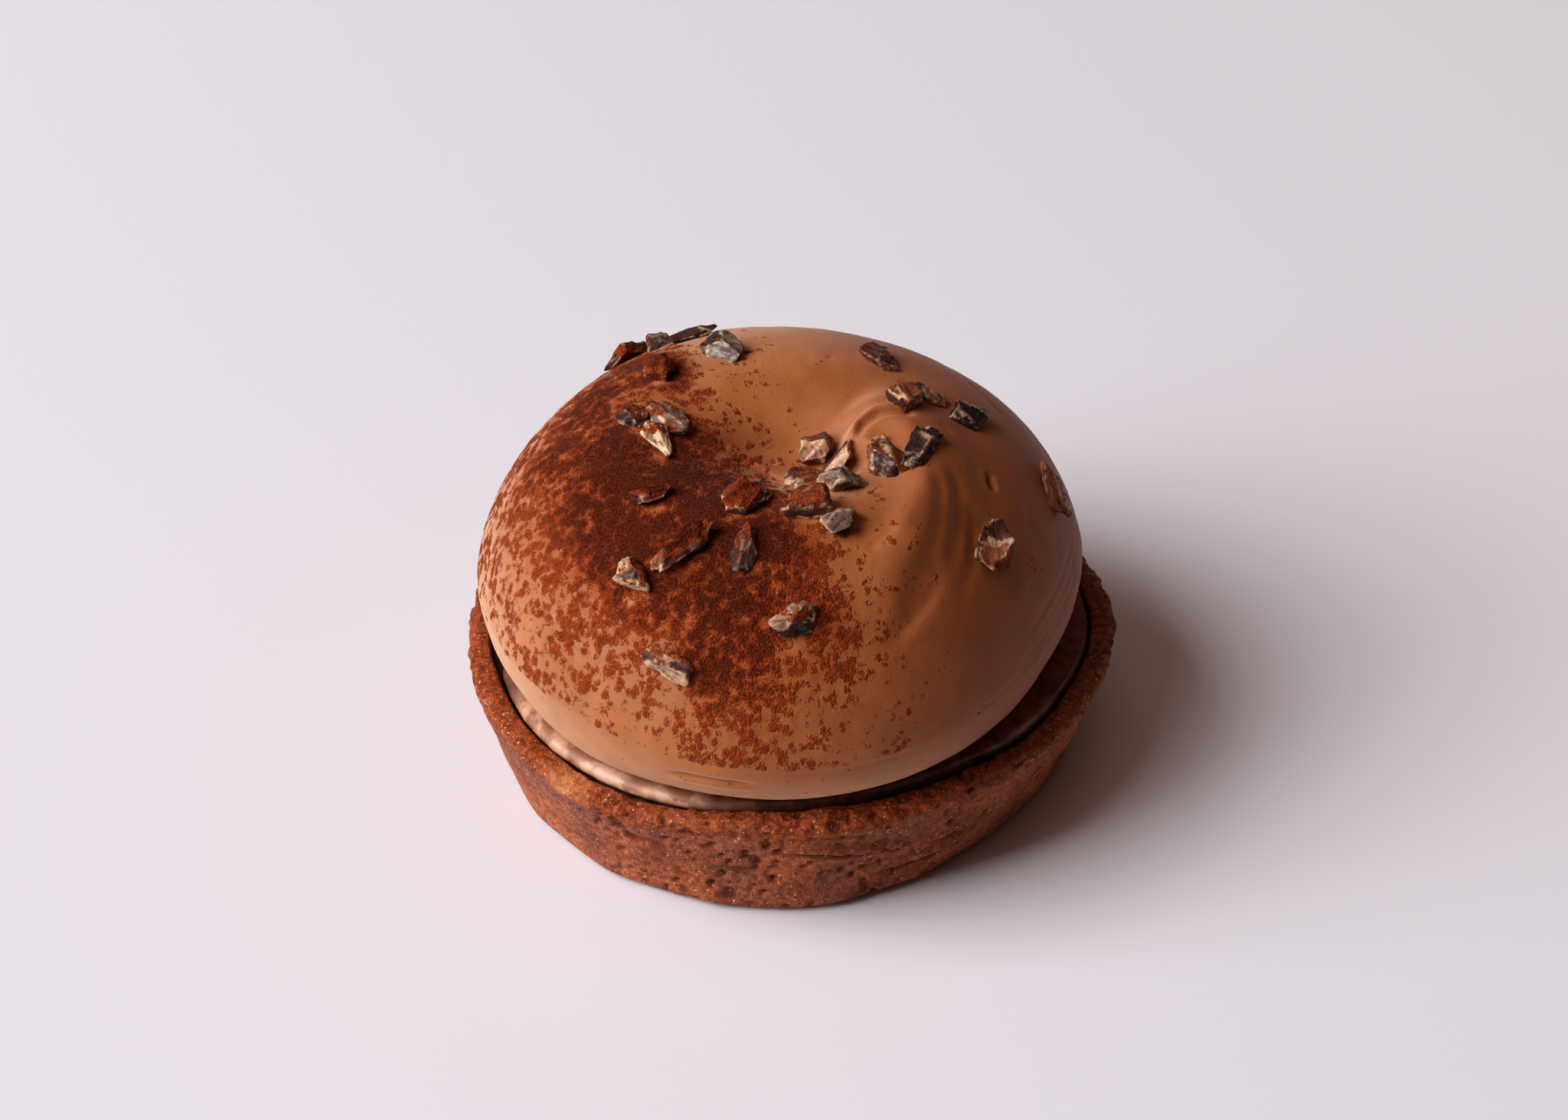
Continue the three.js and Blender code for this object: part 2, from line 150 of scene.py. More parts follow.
def lumps(points, cell, seed):
    """Smooth random numbers from -1 to 1. Each corner of a cubic lattice holds a random number,
    and a point blends the eight about it, each weighted by an S-curve of its nearness."""
    lattice = np.random.default_rng(seed).uniform(-1, 1, (64, 64, 64))
    corner = np.floor(points / cell).astype(int)
    part = points / cell - corner
    part = part * part * (3 - 2 * part)
    total = np.zeros(points.shape[:-1])
    for step in np.ndindex(2, 2, 2):
        weight = np.prod(np.abs(1 - np.array(step) - part), axis=-1)
        at = (corner + step) % 64
        total += weight * lattice[at[..., 0], at[..., 1], at[..., 2]]
    return total


def rim_lift(angle):
    """How far the rim stands above its nominal height: two sines, a peak and a worn place."""
    uneven = 0.3 * np.sin(3 * angle + 1) + 0.2 * np.sin(7 * angle + 2.2)
    return uneven + 0.6 * bell(angle, -79, 14) - bell(angle, -118, 12)


def shell_wobble(angle):
    """How far the shell is from round: cosines of two and three waves, which make it oval and
    three-cornered, and small bulges at the left and the right."""
    oval = 0.68 * np.cos(2 * (angle - np.radians(30.4)))
    corners = 0.52 * np.cos(3 * (angle + np.radians(3.3)))
    bulges = 0.4 * bell(angle, -5, 9) + 0.4 * bell(angle, -172, 7) + 0.7 * bell(angle, 172, 11)
    return oval + corners + bulges


def shell_lean(angle, height):
    """The base lies a little to the left of the rim, and the wall evenly less so up to it."""
    return base_shift * (height / rim_height - 1) * np.cos(angle)


def foot_swell(angle, height):
    """The foot of the wall swells towards the front, less and less up to 8 mm."""
    return 1.5 * bell(angle, -86, 24) * (1 - smooth(height, 0, 8))


def lifted_edge(radius, angle, height):
    """The bottom edge curls up off the table a little at the front."""
    return 0.8 * bell(angle, -71, 7) * smooth(radius, base_radius - 2, base_radius) * (height < 1)


def wall_radius(height):
    """The wall's outer radius at a height: it flares evenly from the base up to the rim."""
    return base_radius + (rim_radius - base_radius) * height / rim_height


def along(profile, counts):
    """Points along a line of [radius, height] corners, counts[i] of them on its i-th side."""
    profile = np.array(profile, float)
    sides = []
    for start, end, count in zip(profile[:-1], profile[1:], counts):
        share = np.linspace(0, 1, count, endpoint=False)[:, None]
        sides.append(start + (end - start) * share)
    return np.concatenate(sides + [profile[-1:]])


def rounded(profile, times):
    """Softens a profile's corners: each point moves halfway to the mean of its neighbours."""
    for _ in range(times):
        middle = (profile[:-2] + 2 * profile[1:-1] + profile[2:]) / 4
        profile = np.concatenate([profile[:1], middle, profile[-1:]])
    return profile


def outward(profile):
    """The unit normal at each point of a profile that climbs on its outer side: the way along
    it, turned a quarter turn."""
    run = np.gradient(profile, axis=0)
    normal = np.stack([run[:, 1], -run[:, 0]], axis=1)
    return normal / np.maximum(np.linalg.norm(normal, axis=1, keepdims=True), 1e-9)


def turned(radius, height, angle):
    """The points at a radius and a height on a bearing, all of them arrays of one shape."""
    return np.stack([radius * np.cos(angle), radius * np.sin(angle), height], axis=-1)


def skin(name, points, finish, marks):
    """A closed piece from a grid of points in millimetres. Rows run along the profile and
    columns go round, and the first and the last row close on the mean of their points.
    Marks are named numbers, one for each point of the grid."""
    rows, columns = points.shape[:2]
    index = np.arange(rows * columns).reshape(rows, columns)
    beside = np.roll(index, -1, axis=1)
    quads = np.stack([index[:-1], beside[:-1], beside[1:], index[1:]], axis=-1).reshape(-1, 4)
    first, last = rows * columns, rows * columns + 1
    start_fan = np.stack([np.full(columns, first), beside[0], index[0]], axis=-1)
    end_fan = np.stack([np.full(columns, last), index[-1], beside[-1]], axis=-1)
    ends = np.stack([points[0].mean(axis=0), points[-1].mean(axis=0)])
    vertices = np.concatenate([points.reshape(-1, 3), ends]) / 1000
    mesh = bpy.data.meshes.new(name)
    mesh.from_pydata(vertices.tolist(), [], quads.tolist() + start_fan.tolist() + end_fan.tolist())
    mesh.shade_smooth()
    for mark, values in marks.items():
        ends = [values[0].mean(), values[-1].mean()]
        layer = mesh.attributes.new(mark, "FLOAT", "POINT")
        layer.data.foreach_set("value", np.concatenate([values.ravel(), ends]).astype(np.float32))
    mesh.materials.append(finish)
    piece = bpy.data.objects.new(name, mesh)
    bpy.context.collection.objects.link(piece)
    return piece


def noise(tree, size, detail=2.0, roughness=0.55, upright=1.0):
    """A noise texture whose features are about size millimetres across, and as much longer
    upright as the last number says. Its value socket."""
    place = add(tree, "TexCoord", {}, {}).outputs["Object"]
    stretch = {"Vector": place, "Scale": (1, 1, 1 / upright)}
    place = add(tree, "Mapping", {}, stretch).outputs["Vector"]
    inputs = {"Vector": place, "Scale": 1000 / size, "Detail": detail, "Roughness": roughness}
    return add(tree, "TexNoise", {}, inputs).outputs["Fac"]


def ramp(tree, value, low, high, start=0.0, end=1.0):
    """Maps low..high onto start..end with an S-curve."""
    inputs = {"Value": value, "From Min": low, "From Max": high, "To Min": start, "To Max": end}
    return add(tree, "MapRange", {"interpolation_type": "SMOOTHSTEP"}, inputs).outputs["Result"]


def blend(tree, share, first, second):
    """The first colour where share is 0 and the second where it is 1."""
    mix = add(tree, "Mix", {"data_type": "RGBA"}, {0: share, 6: first, 7: second})
    return mix.outputs[2]


def mottled(tree, size, detail, low, high, first, second):
    """Two colours in patches about size millimetres across, split where the noise goes from
    low to high."""
    return blend(tree, ramp(tree, noise(tree, size, detail), low, high), first, second)


def math(tree, operation, first, second):
    """The value of one calculation with two values."""
    return add(tree, "Math", {"operation": operation}, {0: first, 1: second}).outputs[0]


def mark(tree, name):
    """The number that a piece's mesh holds under a name."""
    return add(tree, "Attribute", {"attribute_name": name}, {}).outputs["Fac"]


def relief(tree, shader, height, depth, strength=1.0):
    """Bump from a height of 0 to 1 that stands for a depth in millimetres."""
    inputs = {"Height": height, "Distance": depth / 1000, "Strength": strength}
    bump = add(tree, "Bump", {}, inputs)
    tree.links.new(bump.outputs["Normal"], shader.inputs["Normal"])


def dough_relief(angle, height):
    """The shallow knocks and swellings that fingers left: two products of sines."""
    knocks = 0.16 * np.sin(9 * angle + 0.5 * height) * np.sin(0.45 * height + 4 * angle)
    return knocks + 0.12 * np.sin(17 * angle + 1.3) * np.sin(0.8 * height + 0.7)


# Creases where two layers of dough met: bearing, half width in degrees, height, slope, depth.
creases = [(-71, 15, 8.8, -0.11, 1.3), (-62, 7.5, 4.8, 0.02, 1.0),
           (-100, 5, 8.0, -0.02, 0.25), (-84, 7, 13.4, -0.05, 0.35)]


def crease_relief(angle, height, waver):
    """Each crease is a narrow valley along a wavering line, with a slight ledge above it. Both
    are humps across the line, and they fade out along it."""
    total = 0
    for bearing, half_width, level, slope, depth in creases:
        away = (np.degrees(angle) - bearing + 180) % 360 - 180
        above = height - level - slope * away - 0.35 * waver
        valley = 1.3 * hump(above, 0.33) - 0.6 * hump(above - 0.9, 0.8)
        total = total - depth * valley * bell(angle, bearing, half_width)
    return total


# Holes in the wall: bearing, height, radius, depth.
pits = [(-117, 11.2, 1.1, 0.8), (-113, 10.6, 1.2, 0.5), (-91.9, 11.7, 0.6, 0.9),
        (-92.8, 6.3, 0.5, 0.8), (-104.4, 4.4, 0.5, 0.9), (-97.5, 11.4, 0.5, 0.7),
        (-100.5, 9.4, 0.45, 0.6), (-103, 12.3, 0.45, 0.6), (-107, 9, 0.5, 0.6),
        (-87, 8.2, 0.4, 0.6), (-109.5, 12.6, 0.4, 0.5), (-96, 8.1, 0.4, 0.6),
        (-121, 7.5, 0.5, 0.5), (-128, 12.4, 0.45, 0.5), (-72.5, 6.8, 0.45, 0.6),
        (-58, 10.2, 0.5, 0.6)]
degree_length = 0.67  # of one degree round the wall, in millimetres


def pit_depth(angle, height):
    """Each hole is a flat-bottomed bell: exp(-(distance / radius)^4)."""
    total = 0
    for bearing, level, size, depth in pits:
        away = (np.degrees(angle) - bearing + 180) % 360 - 180
        squared = ((away * degree_length) ** 2 + (height - level) ** 2) / size ** 2
        total = total + depth * np.exp(-(squared ** 2))
    return total


# The profile runs out along the base, up the wall, over the rim and down inside to the floor.
shell_corners = [
    (2, 0), (base_radius - 1.3, 0), (base_radius - 0.3, 0.4), (wall_radius(1.4), 1.4),
    (wall_radius(rim_height - 1.6), rim_height - 1.6), (rim_radius - 0.4, rim_height - 0.8),
    (rim_radius - 1.1, rim_height - 0.2), (rim_radius - 2, rim_height),
    (rim_radius - 3, rim_height), (rim_radius - 3.4, rim_height - 0.3),
    (wall_radius(ganache_top) - wall, ganache_top), (wall_radius(12) - wall, 12),
    (wall_radius(floor) - wall, floor), (2, floor)]
shell_counts = [2, 4, 5, 62, 5, 6, 6, 6, 4, 6, 6, 2, 2]
corner_row = np.cumsum([0] + shell_counts)
shell_profile = rounded(along(shell_corners, shell_counts), 3)
shell_normal = outward(shell_profile)
angle = np.linspace(-np.pi, np.pi, 850, endpoint=False)[None, :]
radius, height = shell_profile[:, :1], shell_profile[:, 1:]
row = np.arange(len(shell_profile))[:, None]
is_outer = 1 - smooth(row, corner_row[5], corner_row[7])
plain = turned(radius + 0 * angle, height + 0 * angle, angle + 0 * radius)
standing = smooth(height, 0.05, 1.2)
rim_part = within(row, corner_row[4] - 2, corner_row[9] + 2, 5)
pocks = smooth(lumps(plain, 1.3, 3) + 0.35 * lumps(plain, 3.1, 4), 0.5, 0.8)
pores = smooth(lumps(plain, 0.75, 5) + 0.3 * lumps(plain, 4, 13), 0.5, 0.8)
crumb = 0.12 * lumps(plain, 1.7, 6) + 0.1 * lumps(plain, 0.8, 7) + 0.06 * lumps(plain, 0.45, 8)
smooth_side = within(np.degrees(angle), -179, -128, 6)
raised = 0.13 * lumps(plain, 5, 9) + crumb * (0.6 + 1.2 * rim_part) * (1 - 0.6 * smooth_side)
holes = (0.5 * pocks + 0.34 * pores) * (1 - 0.8 * smooth_side)
raised = raised - holes + 0.16 * rim_part * lumps(plain, 1.2, 10)
folds = crease_relief(angle, height, lumps(plain, 2.2, 11))
made = dough_relief(angle, height) + folds - pit_depth(angle, height)
raised = standing * (raised + is_outer * made)
inner = smooth(row, corner_row[8], corner_row[9] + 3)
raised = raised * (1 - 0.85 * inner)
shape = shell_wobble(angle) + shell_lean(angle, height) + foot_swell(angle, height)
wobble = shape * np.minimum(radius / base_radius, 1)
lift = rim_lift(angle) * smooth(height, floor, rim_height) + lifted_edge(radius, angle, height)
lift = lift + 0.3 * rim_part * lumps(plain, 3.5, 12)
shell_points = turned(radius + wobble + raised * shell_normal[:, :1],
                      np.maximum(height + lift + raised * shell_normal[:, 1:], 0), angle)
shell_points = shell_points + (shell_x, 0, 0)

bearing = np.degrees(angle)
below_rim = rim_height + rim_lift(angle) - height
bloom_band = is_outer * within(below_rim, 1.2, 3.8, 0.9) * within(bearing, -178, -108, 8)
# Painted shade: the pits, pores and creases are darkened in colour where shade falls in them, and the
# hole mark carries it.
painted_pit_shade = np.clip(2 * holes + pit_depth(angle, height), 0, 1)
painted_crease_shade = np.clip(2 * is_outer * np.clip(-folds, 0, 1), 0, 1)
# Painted highlight: a pale spot on the rim at the left front, where the window's light catches it.
painted_highlight_spot = hump(bearing + 131, 3.5) * rim_part * (1 - inner)
# Painted shade: the rim and the upper wall on the right, away from the window, are tinted the dull olive
# brown they show in shade.
right_side_painted_shade = within(bearing, -52, 42, 12) * np.maximum(rim_part, 0.3 * is_outer)

crust_finish, tree, shader = finish_named("chocolate_shortcrust")
rim_mark, coat_mark = mark(tree, "rim"), mark(tree, "coated")
bake = mottled(tree, 7, 3, 0.35, 0.65, (0.52, 0.15, 0.057, 1), (0.33, 0.085, 0.037, 1))
bloom = math(tree, "MULTIPLY", ramp(tree, noise(tree, 9, 2), 0.42, 0.62), 0.4)
bake = blend(tree, bloom, bake, (0.31, 0.115, 0.08, 1))
band_share = ramp(tree, noise(tree, 4, 3), 0.35, 0.6, 0.45, 0.85)
band = math(tree, "MULTIPLY", mark(tree, "band"), band_share)
bake = blend(tree, band, bake, (0.25, 0.085, 0.07, 1))
grain_share = ramp(tree, noise(tree, 0.7, 3), 0.35, 0.6, 0.5, 0.0)
# Dark grain at random, and the hole mark's painted shade in the pits and creases.
dark_grain_and_hollow_shade = math(tree, "MAXIMUM", grain_share, mark(tree, "hole"))
bake = blend(tree, dark_grain_and_hollow_shade, bake, (0.06, 0.018, 0.011, 1))
toasted = mottled(tree, 0.6, 3, 0.36, 0.66, (0.39, 0.085, 0.022, 1), (0.15, 0.032, 0.011, 1))
rim_share = math(tree, "MULTIPLY", rim_mark, ramp(tree, noise(tree, 3, 2), 0.3, 0.6, 0.55, 1.0))
bake = blend(tree, rim_share, bake, toasted)
# The olive brown tint of the painted shade on the right.
painted_shade_tint = mottled(tree, 0.8, 3, 0.36, 0.64, (0.34, 0.12, 0.058, 1), (0.16, 0.056, 0.03, 1))
bake = blend(tree, math(tree, "MULTIPLY", mark(tree, "painted_shade_tint"), 0.85), bake, painted_shade_tint)
# The rim's painted highlight, broken up by noise.
highlight_patchiness = ramp(tree, noise(tree, 1.1, 3), 0.35, 0.55, 0.4, 1.0)
painted_rim_highlight = math(tree, "MULTIPLY", mark(tree, "painted_rim_highlight"), highlight_patchiness)
bake = blend(tree, painted_rim_highlight, bake, (0.6, 0.23, 0.085, 1))
fleck = ramp(tree, noise(tree, 0.34, 0), 0.735, 0.8)
bake = blend(tree, math(tree, "MULTIPLY", fleck, 0.75), bake, (0.75, 0.48, 0.3, 1))
coating = mottled(tree, 5, 2, 0.4, 0.6, (0.19, 0.09, 0.055, 1), (0.085, 0.042, 0.028, 1))
tree.links.new(blend(tree, coat_mark, bake, coating), shader.inputs["Base Color"])
rough = ramp(tree, noise(tree, 1.3, 3), 0.35, 0.65, 0.5, 0.8)
tree.links.new(ramp(tree, coat_mark, 0, 1, rough, 0.42), shader.inputs["Roughness"])
grit = math(tree, "MULTIPLY", noise(tree, 0.35, 3), ramp(tree, coat_mark, 0, 1, 1.0, 0.15))
relief(tree, shader, grit, 0.22)
shader.inputs["Specular IOR Level"].default_value = 0.2
crust = skin("shortcrust_shell", shell_points, crust_finish,
             {"rim": rim_part * (1 - inner) + 0 * angle, "coated": inner + 0 * angle,
              "hole": np.maximum(0.6 * painted_pit_shade, 0.95 * painted_crease_shade),
              "band": bloom_band, "painted_rim_highlight": painted_highlight_spot, "painted_shade_tint": right_side_painted_shade})
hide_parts("crust")
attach(crust, "root")

# ---------------------------------------------------------------------------------------------
# The filling: dark chocolate ganache, poured into the baked shell while warm and left to set.
# It clings to the wall all round and lies a little lower inside.
# ---------------------------------------------------------------------------------------------


def ganache_edge(height):
    """The filling's radius, which leaves the seam between it and the wall."""
    return wall_radius(height) - wall - seam


level = ganache_top - meniscus
ganache_corners = [
    (2, floor + seam), (ganache_edge(floor + seam), floor + seam),
    (ganache_edge(ganache_top), ganache_top),
    (ganache_edge(ganache_top) - 0.5, ganache_top - 0.6 * meniscus),
    (ganache_edge(ganache_top) - 1.5, level), (29, level), (2, level)]
ganache_profile = along(ganache_corners, [2, 6, 5, 8, 22, 2])
angle = np.linspace(-np.pi, np.pi, 480, endpoint=False)[None, :]
radius, height = ganache_profile[:, :1], ganache_profile[:, 1:]
clinging = smooth(height, level, ganache_top) * smooth(height, floor, rim_height)
plain = turned(radius + 0 * angle, height + 0 * angle, angle + 0 * radius)
top_only = (height > level - 0.1) * smooth(radius, 26, 29) * (1 - smooth(radius, 35.6, 36.3))
ripple = top_only * (0.16 * lumps(plain, 2.6, 21) + 0.07 * lumps(plain, 1.1, 22))
wobble = (shell_wobble(angle) + shell_lean(angle, height)) * np.minimum(radius / base_radius, 1)
ganache_points = turned(radius + wobble, height + rim_lift(angle) * clinging + ripple, angle)
ganache_points = ganache_points + (shell_x, 0, 0)

ganache_finish, tree, shader = finish_named("dark_ganache")
color = mottled(tree, 2.4, 3, 0.38, 0.62, (0.10, 0.036, 0.018, 1), (0.032, 0.013, 0.008, 1))
tree.links.new(color, shader.inputs["Base Color"])
tree.links.new(ramp(tree, noise(tree, 1.5, 2), 0.4, 0.6, 0.22, 0.5), shader.inputs["Roughness"])
relief(tree, shader, noise(tree, 0.8, 3), 0.1, 0.6)
ganache = skin("set_ganache", ganache_points, ganache_finish, {})
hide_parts("ganache")
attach(ganache, "root")

# ---------------------------------------------------------------------------------------------
# The bed: a thin layer of glossy chocolate cream that squeezed out where the dome pressed it,
# most of all at the left front, where it makes a smooth lip.
# ---------------------------------------------------------------------------------------------
bed_top, bed_radius = 17.1, 34.0


def bed_reach(angle):
    """The bed's radius: round, squeezed out nearly to the wall at the left front, the right and
    the front. Each part fades in and out with an S-curve of the bearing."""
    bearing = np.degrees(angle)
    inside = wall_radius(ganache_top) - wall + shell_wobble(angle) + shell_x * np.cos(angle)
    left_front = (inside - 1.3 * seam - bed_radius) * within(bearing, -168, -101, 6)
    front = (inside - 0.6 - bed_radius) * within(bearing, -101, -50, 6)
    right = (inside - 0.2 - bed_radius) * within(bearing, -50, 35, 6)
    return bed_radius + left_front + front + right


bed_bottom = level + seam
bed_half = (bed_top - bed_bottom) / 2
roundness = 1.6  # how far the edge bulges
tilt = np.linspace(-np.pi / 2, np.pi / 2, 40)
bulge = np.stack([bed_radius - roundness * (1 - np.cos(tilt)),
                  bed_bottom + bed_half * (1 + np.sin(tilt))], axis=1)
underside, top_side = [(2, bed_bottom), (20, bed_bottom)], [(20, bed_top), (2, bed_top)]
bed_profile = np.concatenate([underside, bulge, top_side])
angle = np.linspace(-np.pi, np.pi, 480, endpoint=False)[None, :]
bearing = np.degrees(angle)
radius, height = bed_profile[:, :1], bed_profile[:, 1:]
plain = turned(radius + 0 * angle, height + 0 * angle, angle + 0 * radius)
edge_only = smooth(radius, 30, 31.5)
sag = edge_only * (0.14 * lumps(plain, 3.6, 31) + 0.04 * lumps(plain, 1.2, 32))
# The wall squared off the upper edge at the front and the right.
squared = np.where(height > bed_bottom + bed_half, 1 - 0.7 * within(bearing, -101, 35, 6), 1)
edge_radius = bed_reach(angle) - (bed_radius - radius) * squared
is_inside = radius < bed_radius - roundness - 0.01
scaled = np.where(is_inside, radius * bed_reach(angle) / bed_radius, edge_radius)
bed_points = turned(scaled + sag, height + 0 * angle, angle)

cream_finish, tree, shader = finish_named("glossy_cream")
cream = mottled(tree, 2.6, 3, 0.42, 0.58, (0.58, 0.31, 0.185, 1), (0.32, 0.125, 0.065, 1))
brown = mottled(tree, 1.8, 3, 0.36, 0.64, (0.24, 0.09, 0.042, 1), (0.12, 0.044, 0.022, 1))
color = blend(tree, mark(tree, "cream"), brown, cream)
# The pale mark is a painted highlight along the lip's upper shoulder.
color = blend(tree, mark(tree, "pale"), color, (0.66, 0.42, 0.27, 1))
tree.links.new(color, shader.inputs["Base Color"])
tree.links.new(ramp(tree, noise(tree, 1.6, 2), 0.4, 0.6, 0.34, 0.5), shader.inputs["Roughness"])
relief(tree, shader, noise(tree, 0.9, 2), 0.08, 0.5)
# Painted highlight: a pale streak on the upper shoulder of the lip at the left front, where the window's
# light catches the glossy cream.
on_shoulder = hump(height - bed_bottom - 1.5 * bed_half, 0.45)
painted_highlight_streak = 0.8 * on_shoulder * bell(angle, -122, 13) * smooth(lumps(plain, 2.4, 33), -0.5, 0.3)
lip_part = within(bearing, -154, -107, 3) + 0 * radius
bed = skin("cream_lip", bed_points, cream_finish, {"cream": lip_part, "pale": painted_highlight_streak})
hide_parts("cream_bed")
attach(bed, "root")

# ---------------------------------------------------------------------------------------------
# The dome: whipped ganache, swirled on top with a palette knife that left a hollow, a folded
# ridge and furrows. Its colour is painted darker towards the right, a painted shade, and paler
# where it turns away from the view, a painted sheen. Cocoa was sieved over its left half, and
# the nibs kept some of it off the places just before them.
# ---------------------------------------------------------------------------------------------
dome_x, dome_y = -1.5, -0.8  # it was set down a little off the middle
belly_radius, belly_height = 37.65, 25.8
crown_height = 21.4  # above the belly, if there were no hollow
crown_flatness, shoulder_roundness = 3.6, 1.4
foot_radius, foot_height = 30.0, bed_top + seam


def dome_stretch(angle):
    """The dome's radius as a share of a round one's: 1 plus cosines of two, three and four
    waves."""
    oval = 0.02 * np.cos(2 * (angle - np.radians(75.7)))
    three = 0.015 * np.cos(3 * (angle - np.radians(29.5)))
    four = 0.01 * np.cos(4 * (angle - np.radians(14.2)))
    return 1 + oval + three + four


def crown_rise(share):
    """Height above the belly at a share of its radius: the crown's height times
    (1 - share^flatness)^(1 / roundness)."""
    return crown_height * (1 - np.minimum(share, 1) ** crown_flatness) ** (1 / shoulder_roundness)


def on_spiral(x, y, middle_x, middle_y, pitch):
    """A place's bearing in degrees about a middle, and its spiral radius: its distance plus the
    pitch times the bearing, so that the spiral opens clockwise."""
    bearing = np.degrees(np.arctan2(y - middle_y, x - middle_x))
    return bearing, np.hypot(x - middle_x, y - middle_y) + pitch * bearing


# The bowl that the knife hollowed out, and the tongue where the fold starts: the middle and
# the reach of each, and the bowl's depth.
bowl_x, bowl_y, bowl_reach_x, bowl_reach_y, bowl_depth = 1.9, -3, 10.5, 8.9, 5.6
tongue_x, tongue_y, tongue_reach_x, tongue_reach_y = 12.8, -1.2, 5, 3.9
fold_spiral, furrow_spiral = (1, -3, 0.105), (0, -4, 0.155)  # middle x, y and pitch of each
fold_radius = 15.3  # on its spiral
# Furrows along their spiral: spiral radius, width, depth, first and last bearing.
furrows = [(16.9, 1, 0.45, -54, -17), (18.7, 1, 0.6, -64, -44), (19, 0.9, 0.35, -37, -10),
           (21.5, 0.8, 0.25, -39, -23)]


def swirl(x, y):
    """Height that the knife's swirl adds to the crown. A bell-shaped bowl is filled again
    outside a spiral, by an S-curve that is crisp at the back and soft in front, and on the
    tongue, an ellipse at the fold's back end. A ridge, a groove and a slight valley follow that
    spiral, and the furrows follow one of their own, each a hump across it."""
    bowl = bowl_depth * hump(x - bowl_x, bowl_reach_x) * hump(y - bowl_y, bowl_reach_y)
    bearing, spiral = on_spiral(x, y, *fold_spiral)
    outside = spiral - fold_radius
    folded = within(bearing, -57, 41, 12)
    softness = np.interp(bearing, [-60, 40], [5.4, 2.8])
    ridge = 1.4 * hump(outside, np.where(outside < 0, 2.6, 6.8))
    valley = 0.4 * hump(outside - 7.5, 2.2)
    groove = 0.7 * hump(outside - 5, 2) * within(bearing, -60, -15, 8)
    from_tongue = np.hypot((x - tongue_x) / tongue_reach_x, (y - tongue_y) / tongue_reach_y)
    tongue = 1 - smooth(from_tongue, 0.7, 1.3)
    filled = 1 - (1 - tongue) * (1 - folded * smooth(outside, -softness, softness))
    total = folded * (ridge - valley) - groove - bowl * (1 - filled)
    bearing, spiral = on_spiral(x, y, *furrow_spiral)
    for middle, width, depth, first, last in furrows:
        total = total - depth * hump(spiral - middle, width) * within(bearing, first, last, 6)
    return total


def crown(x, y):
    """Height of the crown above the table at x, y from the dome's middle: the belly's height,
    the rise at that share of its radius, and the swirl."""
    share = np.hypot(x, y) / (belly_radius * dome_stretch(np.arctan2(y, x)))
    return belly_height + crown_rise(share) + swirl(x, y)


def from_line(x, y, start, end):
    """Distance from a straight line between two places, seen from above: to the point of it
    straight across, or to the nearer end."""
    way = np.subtract(end, start)
    share = np.clip(((x - start[0]) * way[0] + (y - start[1]) * way[1]) / np.dot(way, way), 0, 1)
    return np.hypot(x - start[0] - share * way[0], y - start[1] - share * way[1])


def from_path(x, y, places):
    """Distance from the nearest of the straight lines that join some places in turn."""
    return np.min([from_line(x, y, *ends) for ends in zip(places, places[1:])], axis=0)


# Streaks that the knife left on the right: the line of each, its width and its depth.
scratches = [
    ([(21, -8.2), (21.2, -11.5), (21, -14.9)], 0.9, 0.12), ([(22.6, -11.7), (22.3, -15.3)], 0.6, 0.12),
    ([(23.9, -12.2), (22.8, -15.2), (22.6, -17.7)], 0.7, 0.18), ([(29.8, -5.3), (29.5, -8.6)], 0.5, 0.14),
    ([(23.7, 15.1), (25.4, 12.2), (27.1, 9.7)], 0.45, 0.18), ([(13, -18.8), (10.7, -21)], 0.5, 0.15),
    ([(19.6, -0.4), (21.7, -2.7), (23.4, -5.3)], 0.6, 0.2),
    ([(17.7, -20.9), (16, -23.6), (14.8, -26.1)], 0.9, 0.22)]
# Pinholes where air came out: x, y, radius and depth of each.
pinholes = [(-4.9, -2.9, 0.5, 0.8), (-6.5, -1.3, 0.4, 0.4), (-0.6, -1.3, 0.3, 0.35),
            (6.2, 14.4, 0.4, 0.2), (2.0, -3.2, 0.25, 0.3), (12.3, -20.5, 0.3, 0.3)]


def knife_marks(x, y):
    """Small marks on the crown, each a hump across its line: the step where the tongue starts,
    a folded lip with a pit beside it, a slit that holds cocoa, streaks, a dent and pinholes."""
    tongue = [(8.2, -4.2), (8.4, -1.4), (9.3, 0.5), (11.2, 1.5), (14.5, 1.5)]
    beside_tongue = from_path(x - 0.8, y + 0.7, tongue)
    total = 0.35 * hump(from_path(x, y, tongue), 0.4) - 0.6 * hump(beside_tongue, 0.7)
    lip = from_path(x, y, [(-3.6, -2.6), (-1.5, -3.2), (1.5, -4.7)])
    under_lip = from_line(x, y, (-4.2, -3.2), (0.2, -5.4))
    total = total + 0.4 * hump(lip, 0.4) - 0.35 * hump(under_lip, 0.7)
    slit = from_path(x, y, [(-28, -19.9), (-25.4, -23.4), (-22, -26.9)])
    total = total - 0.5 * hump(slit, 0.4) + 0.15 * hump(slit - 0.8, 0.5)
    for line, width, depth in scratches:
        total = total - depth * hump(from_path(x, y, line), width)
    dent = from_line(x, y, (25.2, -6.6), (25.0, -5.5))
    total = total - 0.75 * hump(dent, 0.42) + 0.12 * hump(dent - 0.9, 0.4)
    for pit_x, pit_y, size, depth in pinholes:
        total = total - depth * hump(np.hypot(x - pit_x, y - pit_y), size)
    return total


